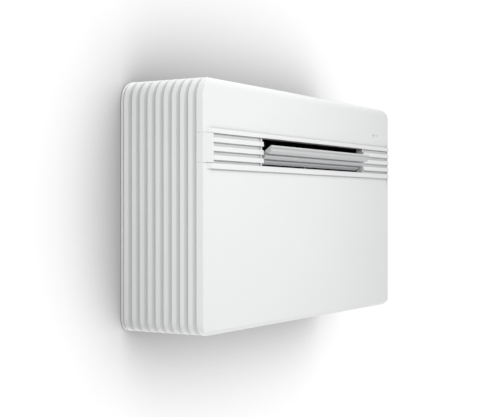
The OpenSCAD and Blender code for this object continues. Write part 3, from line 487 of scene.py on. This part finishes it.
def build_tangential_fan():
    """Roller of curved blades between thin rings, with shaft stubs."""
    blades, sections, chord_steps = 30, 7, 8
    blade_depth, blade_lead, blade_hook = 9.4, 2.112, 0.231
    ring_w, ring_r, rim_r, shaft_r = 2.5, 31, FAN_R - 0.8, 4
    x0, x1 = DUCT_X0 + 5, DUCT_X1 - 5
    step = (x1 - x0 - ring_w) / sections
    fan = Shape()
    for s in range(sections):
        start = x0 + s * step + ring_w / 2
        for b in range(blades):
            turn = 2 * math.pi * (b + s / sections) / blades
            inner, outer = [], []
            for k in range(chord_steps + 1):
                t = k / chord_steps
                radius = ring_r + 1 + blade_depth * t
                half = 0.35 + 0.3 * math.sin(math.pi * t)
                for line, sign in ((outer, 1), (inner, -1)):
                    a = turn + blade_lead - blade_hook * (1 - t) ** 1.6 + sign * half / radius
                    line.append((radius * math.cos(a), radius * math.sin(a)))
            loop = outer + inner[::-1]
            fan.loft([[(x, FAN_Y + p, FAN_Z + q) for p, q in loop] for x in (start, start + step)])
    for s in range(sections + 1):
        x = x0 + s * step
        solid_end = s in (0, sections)
        inner_r = shaft_r if solid_end else ring_r
        fan.ring([(inner_r, 0), (rim_r - 0.5, 0), (rim_r, 0.5), (rim_r, ring_w - 0.5),
                  (rim_r - 0.5, ring_w), (inner_r, ring_w)], on_shaft(x), 64)
        if solid_end:
            hub = on_shaft(x, -1) if s else on_shaft(x + ring_w)
            fan.ring([(shaft_r, 0), (11, 0), (9.5, 8), (shaft_r, 8)], hub, 32)
    for start, length in ((x0 - 12, 13), (x1 - 1, 26)):
        stub = [(shaft_r - 0.6, 0), (shaft_r, 0.6), (shaft_r, length - 0.6), (shaft_r - 0.6, length)]
        fan.lathe(stub, on_shaft(start), 28)
    fan.piece("tangential_roller", "fan", "fan_plastic", ["tangential_fan"])


def build_outdoor_wheel():
    """Cup hub with ribs and swept, twisted blades."""
    blades, hub_ribs = 7, 6
    bore_r, boss_r, cup_r, hub_r, tip_r, hub_depth = 4.05, 8, 24, 27, 69.6, 36
    wheel = Shape()
    facing = along((0, -1, 0), WHEEL)
    wheel.ring([(bore_r, 0), (21, 0), (25.5, 1.2), (hub_r, 4), (hub_r, hub_depth), (cup_r, hub_depth),
                (cup_r, 5), (20, 3), (boss_r, 3), (boss_r, hub_depth), (bore_r, hub_depth)], facing, 64)
    for k in range(hub_ribs):
        turn = facing @ Matrix.Rotation(2 * math.pi * k / hub_ribs, 4, "Z")
        rib = Shape()
        rib.brick((boss_r - 0.5, -0.8, 2.5), (cup_r + 0.5, 0.8, 22), 0.3)
        wheel.add(rib.verts, rib.faces, turn)
    stations, chord_steps, root_r = 11, 10, hub_r - 1.5
    for b in range(blades):
        rings = []
        for i in range(stations):
            t = i / (stations - 1)
            radius = root_r + (tip_r - root_r) * t
            pitch = math.radians(47 - 20 * t)
            half_chord = 19 + 7 * math.sin(math.pi * min(1, 0.25 + 0.65 * t)) - 3 * t ** 4
            sweep = math.radians(20) * t ** 1.5
            upper, lower = [], []
            for k in range(chord_steps + 1):
                u = -1 + 2 * k / chord_steps
                camber = 2.6 * (1 - u * u)
                half = 0.45 + 0.55 * (1 - u * u)
                for line, sign in ((upper, 1), (lower, -1)):
                    lift = camber + sign * half
                    around = u * half_chord * math.cos(pitch) - lift * math.sin(pitch)
                    axial = 17 + u * half_chord * math.sin(pitch) + lift * math.cos(pitch)
                    angle = sweep + around / radius
                    height = min(hub_depth - 0.5, max(1, axial))
                    line.append((radius * math.cos(angle), radius * math.sin(angle), height))
            rings.append(upper + lower[::-1])
        wheel.loft(rings, facing @ Matrix.Rotation(2 * math.pi * b / blades, 4, "Z"))
    wheel.piece("outdoor_wheel_swept", "outdoor_wheel", "fan_plastic", ["outdoor_fan_wheel"])


# ---------------------------------------------------------------- pipes, cable, wires

def build_pipes():
    """Copper lines with drawn bends and a belled, brazed socket at every end."""
    gap, bend_r = 0.2, 13
    wide, medium, narrow = 4, 3.5, 3
    discharge = (COMPRESSOR.x - 40, COMPRESSOR.y)
    suction = ACCUMULATOR.xy
    valve_y = middle("reversing_valve").y
    left_port, middle_port, right_port = ((COMPRESSOR.x + x, valve_y) for x in (-33, -13, 7))
    valve_low, valve_high = (corner.z for corner in corners("reversing_valve"))
    condenser_x, condenser_top = middle("condenser_fins").x, corners("condenser_fins")[1].z + 2.2
    hot_gas, liquid = (condenser_x + 11, -150), (condenser_x - 11, -38)
    drier, expansion = middle("filter_drier").xy, middle("expansion_valve").xy
    drier_low, drier_high = (corner.z for corner in corners("filter_drier"))
    side_port_z = drier_low + 12
    gas_end, liquid_end = ((EVAPORATOR @ Vector((0, side * 55, side * 6.5))).yz for side in (-1, 1))
    evaporator_x = EVAP_X0 - 4.2
    riser_x, return_x = -250, -281
    lines = (
        (wide, [(*discharge, corners("compressor")[1].z + gap), (*discharge, 290), (*middle_port, 290),
                (*middle_port, valve_low - gap)]),
        (wide, [(*left_port, valve_low - gap), (*left_port, 280), (left_port[0], -135, 280),
                (suction.x, -135, 280), (*suction, 280), (*suction, ACCUMULATOR_TOP + gap)]),
        (wide, [(*suction, ACCUMULATOR_BASE - gap), (*suction, 56),
                (COMPRESSOR.x + COMPRESSOR_R + gap, suction.y, 56)]),
        (medium, [(*middle_port, valve_high + 0.3), (*middle_port, 380), (riser_x, middle_port[1], 380),
                  (riser_x, *gas_end), (evaporator_x, *gas_end)]),
        (medium, [(*right_port, valve_low - gap), (*right_port, 266), (-60, hot_gas[1], 266), (*hot_gas, 266),
                  (*hot_gas, condenser_top)]),
        (narrow, [(*liquid, condenser_top), (*liquid, 270), (*drier, 270), (*drier, drier_low - gap)]),
        (narrow, [(*drier, drier_high + 0.3), (*drier, 372), (return_x, drier.y, 372),
                  (return_x, drier.y, 288), (*expansion, 288), (*expansion, drier_low - gap)]),
        (narrow, [(expansion.x, expansion.y - 9.3, side_port_z), (expansion.x, -84, side_port_z),
                  (expansion.x, -84, 420), (riser_x, *liquid_end), (evaporator_x, *liquid_end)]),
    )
    pipes, joints = Shape(), Shape()
    for radius, points in lines:
        path = rounded_path(points, bend_r)
        pipes.tube(path, radius, 18)
        for end, inward in ((path[0], path[1]), (path[-1], path[-2])):
            way = (inward - end).normalized()
            reach = min(7, (inward - end).length * 0.9)
            socket = [end + way * reach * f for f in (0, 0.06, 0.8, 0.92, 1)]
            joints.tube(socket, [radius + r for r in (0.3, 0.75, 0.75, 0.5, 0.05)], 18)
    pipes.piece("refrigerant_lines", "casing", "copper", ["refrigerant_pipes"])
    joints.piece("brazed_sockets", "casing", "valve_brass")


def build_cable():
    """Mains cable from the wall up into the electronics box, and the ribbed boot of its gland."""
    x, z = middle("cable_gland").xz
    run = [(x, -0.5, z), (x, -52, z), (x, -52, 67), (x, -68, 67), (x, -68, 79.8)]
    cable = Shape()
    cable.tube(rounded_path(run, 10), 4, 20)
    cable.piece("mains_cable_bent", "casing", "black_rubber", ["mains_cable"])
    boot = Shape()
    lips, lip_pitch, bore_r = 4, 3, 4.2
    profile = [(4.9, 0)]
    for k in range(lips):
        base, crest_r, root_r = lip_pitch * k, 8.2 - k * 0.6, 6.6 - k * 0.5
        profile += [(crest_r, base + 0.3), (crest_r, base + 2), (root_r, base + 2.3)]
    profile += [(5.2, 13), (bore_r, 13), (bore_r, 0)]
    boot.ring(profile, along((0, -1, 0), (x, corners("cable_gland")[0].y, z)), 32)
    boot.piece("gland_boot", "casing", "black_rubber")


def build_wiring():
    """Motor leads from the electronics box through the partition, each wire on its own line."""
    x, y, box_z, spacing = 313, -57, 230, 2.6
    to_fan = [(x, y, box_z), (x, y, 330), (306, -66, 352), (312, -78, 352)]
    to_flap = [(x, y, box_z), (x, y, 320), (300, -120, 330), (300, -160, 352)]
    wires = (("grey_wire", "box_grey", to_fan), ("orange_wire", "float_orange", to_fan),
             ("black_wire", "black_rubber", to_flap), ("light_wire", "light_plastic", to_flap))
    for k, (name, slot_name, run) in enumerate(wires):
        wire = Shape()
        wire.tube(rounded_path([(px + spacing * k, py, pz) for px, py, pz in run], 18), 1.2, 10)
        wire.piece(name, "casing", slot_name)
    bundle_x = x + 1.5 * spacing
    ties = Shape()
    for z in (262, 290, 315):
        band = [(bundle_x + 6.2 * math.cos(a), y + 2.1 * math.sin(a), z) for a in
                (2 * math.pi * k / 24 for k in range(25))]
        ties.tube(band, 0.6, 6)
    ties.piece("cable_ties", "casing", "black_plastic")


def build_condensate_hose():
    """Hose from the drip tray down to the condensate pump."""
    run = [(-215, -22, 430.4), (-215, -22, 408), (-230, -20, 390), (-230, -20, 300),
           (-223, -18, 262), (-223, -18, 70), (-223, -100, 56), (-205, -120, 44)]
    hose = Shape()
    hose.tube(rounded_path(run, 14), 3.2, 14)
    hose.piece("condensate_hose", "casing", "black_rubber")


# ---------------------------------------------------------------- compressor, motors, board, screws

def build_compressor_details():
    """Welded seams of the shell, the accumulator's domed ends and strap, and the terminal cover."""
    seams = Shape()
    for z, bulge in ((207, 1.1), (48, 0.9)):
        loop = [(COMPRESSOR_R - 0.3 + bulge * math.cos(a), z + 1.6 * math.sin(a)) for a in
                (2 * math.pi * k / 10 for k in range(10))]
        seams.ring(loop, Matrix.Translation(COMPRESSOR), 72)
    r = ACCUMULATOR_R
    dome = [(r, -1), (r, 0), (19.4, 3), (17, 6.4), (12, 9.2), (6, 10.6), (4.4, 10.8)]
    seams.lathe(dome, Matrix.Translation(ACCUMULATOR + Vector((0, 0, ACCUMULATOR_TOP))), 40)
    seams.lathe(dome, along((0, 0, -1), ACCUMULATOR + Vector((0, 0, ACCUMULATOR_BASE))), 40)
    strap = [(r, 0), (r + 1, 0.4), (r + 1, 8.6), (r, 9)]
    seams.ring(strap, Matrix.Translation(ACCUMULATOR + Vector((0, 0, 149.5))), 40)
    seams.piece("compressor_seams", "casing", "black_paint")
    x, z, half = COMPRESSOR.x, 152, 18
    cover = Shape()
    cover.brick((x - half, -163, z - 24), (x + half, -150.5, z + 24), 3)
    cover.tube([(x, -165.5, z), (x, -164.5, z), (x, -162, z)], [3.5, 4.5, 4.5], 24)
    cover.piece("compressor_terminal_cover", "casing", "black_plastic")


def build_motor_details():
    """Cooling ribs and lead exits on the motors."""
    x = corners("indoor_fan_motor")[0].x
    ribs = Shape()

    def rib(root_r, crest_r, place):
        ribs.ring([(root_r, 0), (crest_r, 0.3), (crest_r, 1.3), (root_r, 1.6)], place, 64)

    for k in range(9):
        rib(35.5, 37.1, on_shaft(x + 10 + 4.6 * k))
    for k in range(7):
        rib(31.5, 32.05, along((0, -1, 0), (WHEEL.x, -84 - 5 * k, WHEEL.z)))
    ribs.piece("motor_cooling_ribs", "casing", "zinc_steel")
    blocks = Shape()
    blocks.brick((x + 22, FAN_Y - 8, FAN_Z - 42), (x + 40, FAN_Y + 8, FAN_Z - 35), 1)
    blocks.brick((293, -168, 350), (305, -160, 356), 1)
    blocks.piece("motor_lead_blocks", "casing", "light_plastic")


def build_board_parts():
    """Parts on the main board: capacitors with vents, relays, chips with legs, a choke and plugs."""
    board_t = 1.8
    y = corners("main_board")[1].y - board_t
    capacitors = ((372, 212, 9, 26), (392, 212, 9, 26), (352, 214, 6, 18), (402, 140, 5, 14))
    relays = ((318, 96), (338, 96))
    chips = ((385, 128, 16, 16), (330, 216, 22, 8), (360, 122, 12, 8))
    plugs = ((310, 224), (324, 224))
    cans, dark, metal, pale = Shape(), Shape(), Shape(), Shape()
    for x, z, r, h in capacitors:
        cans.lathe([(r - 0.8, 0), (r, 0.8), (r, 2.4), (r - 0.5, 3), (r, 3.6), (r, h - 0.8), (r - 1, h)],
                   along((0, -1, 0), (x, y, z)), 32)
        top = Vector((x, y - h - 0.05, z))
        for way in (Vector((1, 0, 0)), Vector((0, 0, 1))):
            metal.tube([top - way * (r - 2), top + way * (r - 2)], 0.3, 6)
    for x, z in relays:
        dark.brick((x - 8, y - 16, z - 10), (x + 8, y, z + 10), 0.8)
    for x, z, w, h in chips:
        dark.brick((x - w / 2, y - 2.4, z - h / 2), (x + w / 2, y - 0.6, z + h / 2), 0.4)
        for k in range(w // 2):
            leg_x = x - w / 2 + 1 + 2 * k
            for sign in (-1, 1):
                metal.tube([(leg_x, y - 1.4, z + sign * h / 2), (leg_x, y - 1.2, z + sign * (h / 2 + 0.9)),
                            (leg_x, y - 0.1, z + sign * (h / 2 + 1.6))], 0.25, 6)
    for x, z in plugs:
        pale.brick((x - 5, y - 9, z - 3), (x + 5, y, z + 3), 0.5)
        for k in range(3):
            metal.tube([(x - 3 + 3 * k, y - 8, z), (x - 3 + 3 * k, y - 9.6, z)], 0.5, 8)
    winding = add_choke(dark, 385, y, 176)
    cans.piece("board_capacitors", "casing", "black_plastic")
    dark.piece("board_chips", "casing", "fan_plastic")
    metal.piece("board_legs", "casing", "zinc_steel")
    pale.piece("board_plugs", "casing", "light_plastic")
    winding.piece("board_choke_winding", "casing", "copper")


def add_choke(cores, x, y, z):
    """Adds a ring core to the cores and gives back the winding round three quarters of it."""
    core_r, turns, per_turn = 7.5, 16, 10
    section = [(core_r + 3.2 * math.cos(a), 4.5 * math.sin(a) + 4.6) for a in
               (2 * math.pi * k / 12 for k in range(12))]
    cores.ring(section, along((0, -1, 0), (x, y, z)), 32)
    coil = []
    for k in range(turns * per_turn + 1):
        around = 1.5 * math.pi * k / (turns * per_turn)
        loop = 2 * math.pi * k / per_turn
        radius = core_r + 4 * math.cos(loop)
        depth = 4.6 + 5.3 * math.sin(loop)
        coil.append((x + radius * math.cos(around), y - depth, z + radius * math.sin(around)))
    winding = Shape()
    winding.tube(coil, 0.55, 6)
    return winding


def cross_head_screw(shape, head_r, head_h, shank_r, length, place):
    """Pan head with a cross recess and a threaded shank; it points along Z from the top of its head."""
    sides, rings = 48, 9
    recess, slot_half, cross_r = 1.1, head_r * 0.14, head_r * 0.56
    thread_pitch, thread_depth = 0.8, 0.35
    circle = [(math.cos(a), math.sin(a)) for a in (2 * math.pi * k / sides for k in range(sides))]
    verts = [(0, 0, recess)]
    for i in range(1, rings + 1):
        radius = head_r * i / rings
        crown = 0.35 * head_h * (radius / head_r) ** 3
        for c, s in circle:
            inside = radius < cross_r and min(abs(radius * c), abs(radius * s)) < slot_half
            verts.append((radius * c, radius * s, recess if inside else crown))
    profile = [(head_r, head_h - 0.1), (head_r - 0.1, head_h), (shank_r, head_h)]
    z = head_h + 0.6
    while z < length - 1.2:
        profile += [(shank_r, z), (shank_r - thread_depth, z + thread_pitch / 2)]
        z += thread_pitch
    profile += [(shank_r * 0.7, length - 0.4), (0.3, length)]
    for radius, height in profile:
        verts += [(radius * c, radius * s, height) for c, s in circle]
    loops = rings + len(profile)
    faces = [(0, 1 + (k + 1) % sides, 1 + k) for k in range(sides)]
    for base in range(1, 1 + (loops - 1) * sides, sides):
        faces += [(base + k, base + (k + 1) % sides, base + sides + (k + 1) % sides, base + sides + k)
                  for k in range(sides)]
    faces.append(tuple(1 + (loops - 1) * sides + k for k in range(sides)))
    shape.add(verts, faces, place)


def build_screws():
    """Six screws up through the bottom cover, and three through the fan motor's flange."""
    screws = Shape()
    for x in (-380, 0, 380):
        for y in (-32, -150.5):
            cross_head_screw(screws, 4.4, 1.8, 2.1, 15, along((0, 0, 1), (x, y, 1)))
    flange_r = 26
    for angle in (90, 210, 330):
        a = math.radians(angle)
        place = (DUCT_X1 - 2.4, FAN_Y + flange_r * math.cos(a), FAN_Z + flange_r * math.sin(a))
        cross_head_screw(screws, 4, 2.2, 2, 14, along((1, 0, 0), place))
    screws.piece("cross_head_screws", "casing", "zinc_steel", ["screws"])


# ---------------------------------------------------------------- touch marks on the upper panel

def build_touch_marks():
    """Faint generic touch marks: a power ring painted near-white as painted glow, and a printed plus and
    minus.
    """
    y, gauge, line = corners("front_upper_panel")[0].y + LIP_PROUD - 0.05, 0.12, 1.2

    def stroke(shape, points):
        for (x0, z0), (x1, z1) in zip(points, points[1:]):
            way = Vector((x1 - x0, 0, z1 - z0)).normalized()
            side = Vector((-way.z, 0, way.x)) * line
            a, b = Vector((x0, y, z0)), Vector((x1, y, z1))
            back = Vector((0, gauge, 0))
            outline = [a - side, a + side, b + side, b - side]
            shape.loft([outline, [p + back for p in outline]])

    ring, printed = Shape(), Shape()
    x, z, radius = 396, 442, 7
    stroke(ring, [(x + radius * math.cos(math.radians(a)), z + radius * math.sin(math.radians(a)))
                  for a in range(120, 421, 15)])
    stroke(ring, [(x, z + 1), (x, z + 9)])
    for left, strokes in ((350, ((0, 0, 12, 0), (6, -6, 6, 6))), (370, ((0, 0, 12, 0),))):
        for x0, z0, x1, z1 in strokes:
            stroke(printed, [(left + x0, z + z0), (left + x1, z + z1)])
    # The ring's near-white is painted glow; the signs' grey is print.
    for shape, name, tone in ((ring, "touch_ring", 0.98), (printed, "touch_signs", 0.6)):
        made = shape.piece(name, "casing", "light_plastic")
        made.data.materials.clear()
        made.data.materials.append(plastic(name + "_print_and_painted_glow", (tone,) * 3, 0.4))


build_fin_packs()
build_filter_mesh()
build_tangential_fan()
build_outdoor_wheel()
build_pipes()
build_cable()
build_wiring()
build_condensate_hose()
build_compressor_details()
build_motor_details()
build_board_parts()
build_screws()
build_touch_marks()


# ---------------------------------------------------------------- stage, light, camera

def quad(name, points):
    """A four-sided sheet of the stage."""
    mesh = bpy.data.meshes.new(name)
    mesh.from_pydata(points, [], [(0, 1, 2, 3)])
    piece = bpy.data.objects.new(name, mesh)
    bpy.context.scene.collection.objects.link(piece)
    return piece


def stage_paint(name, value):
    """Matt paint of one grey, nearly even."""
    s = Shader(name)
    tone = s.noise(3.0, 3.0)
    colour = s.ramp(tone, [(0.3, (value,) * 3), (0.7, (value * 1.01,) * 3)])
    return s.principled(Base_Color=colour, Roughness=0.9)


def wall_glow(name):
    """White wall that glows evenly, with a painted contact shadow round the casing where ambient occlusion is
    low; clear when seen from behind.
    """
    s = Shader(name)
    painted_shadow_ao = s.add("ShaderNodeAmbientOcclusion", samples=32, Distance=0.55).outputs["AO"]
    # Greys of the painted shadow, from closed in to open.
    greys = ((0.4, 0.2), (0.55, 0.43), (0.7, 0.62), (0.83, 0.81), (0.91, 0.93), (0.98, 1.0))
    tone = s.ramp(painted_shadow_ao, [(openness, (grey,) * 3) for openness, grey in greys])
    glow = s.add("ShaderNodeEmission", Strength=1.06)
    s.link(tone, glow.inputs["Color"])
    clear = s.add("ShaderNodeBsdfTransparent")
    mix = s.add("ShaderNodeMixShader")
    s.link(s.add("ShaderNodeNewGeometry").outputs["Backfacing"], mix.inputs["Fac"])
    s.link(glow.outputs["Emission"], mix.inputs[1])
    s.link(clear.outputs["BSDF"], mix.inputs[2])
    s.link(mix.outputs["Shader"], s.out.inputs["Surface"])
    return s.material


def build_stage():
    """Floor, the wall as the camera sees it, and a strip of wall on each side that shades the rear ribs."""
    reach, floor_z, wall_y = 6.0, -0.75, 0.002
    floor = quad("floor", [(-reach, -reach, floor_z), (reach, -reach, floor_z),
                           (reach, reach, floor_z), (-reach, reach, floor_z)])
    floor.data.materials.append(stage_paint("floor_paint", 0.85))
    wall = quad("wall", [(-reach, wall_y, floor_z), (reach, wall_y, floor_z),
                         (reach, wall_y, reach), (-reach, wall_y, reach)])
    wall.data.materials.append(wall_glow("wall_paint"))
    for way in ("visible_shadow", "visible_diffuse", "visible_glossy", "visible_transmission"):
        setattr(wall, way, False)
        setattr(floor, way, False)
    low, high = Vector(CAD_BOX[0]), Vector(CAD_BOX[1])
    width, card_y = 0.3, wall_y + 0.002
    for side, x0, x1 in (("left", low.x - width, low.x), ("right", high.x, high.x + width)):
        card = quad(f"wall_{side}", [(x0, card_y, low.z - width), (x1, card_y, low.z - width),
                                     (x1, card_y, high.z + width), (x0, card_y, high.z + width)])
        card.data.materials.append(stage_paint(f"wall_{side}_paint", 0.25))
        card.visible_camera = False
        card.visible_shadow = False


def soft_spot(name, place, target, radius, cone, power):
    """A large soft lamp whose light fades towards the edge of its cone."""
    light = bpy.data.lights.new(name, "SPOT")
    light.shadow_soft_size = radius
    light.spot_size = math.radians(cone)
    light.spot_blend = 1.0
    light.energy = power
    lamp = bpy.data.objects.new(name, light)
    bpy.context.scene.collection.objects.link(lamp)
    lamp.location = place
    lamp.rotation_mode = "QUATERNION"
    lamp.rotation_quaternion = (Vector(target) - Vector(place)).to_track_quat("-Z", "Y")


def build_light():
    """A soft dome, strongest from behind the wall, a key lamp in the room and a rim lamp on the rear left."""
    world = bpy.data.worlds.new("studio")
    bpy.context.scene.world = world
    world.use_nodes = True
    tree = world.node_tree
    direction = tree.nodes.new("ShaderNodeTexCoord").outputs["Generated"]
    dome = tree.nodes.new("ShaderNodeVectorMath")
    dome.operation = "DOT_PRODUCT"
    dome.inputs[1].default_value = (0.13, 0.45, 0.02)
    tree.links.new(direction, dome.inputs[0])
    level = tree.nodes.new("ShaderNodeMath")
    level.operation = "ADD"
    level.inputs[1].default_value = 0.95
    tree.links.new(dome.outputs["Value"], level.inputs[0])
    tree.links.new(level.outputs["Value"], tree.nodes["Background"].inputs["Strength"])
    tree.nodes["Background"].inputs["Color"].default_value = (1, 1, 1, 1)
    soft_spot("key", (-0.4, -2.65, 1.33), (-0.39, -0.2, 0.37), 0.5, 51, 125)
    soft_spot("rim", (-1.7, 2.6, 0.55), (-0.45, -0.1, 0.42), 0.4, 40, 180)
    bpy.context.scene.view_settings.view_transform = "Standard"


def build_camera():
    """Level camera to the left of the casing, looking along a heading 59.3 degrees off the wall's normal."""
    heading = math.radians(59.3)
    camera_data = bpy.data.cameras.new("camera")
    camera_data.sensor_width = 36.0
    camera_data.lens = 80.1
    camera = bpy.data.objects.new("camera", camera_data)
    bpy.context.scene.collection.objects.link(camera)
    camera.location = (-2.282, -1.395, 0.253)
    way = Vector((math.sin(heading), math.cos(heading), 0))
    camera.rotation_mode = "QUATERNION"
    camera.rotation_quaternion = way.to_track_quat("-Z", "Y")
    bpy.context.scene.camera = camera


build_stage()
build_light()
build_camera()
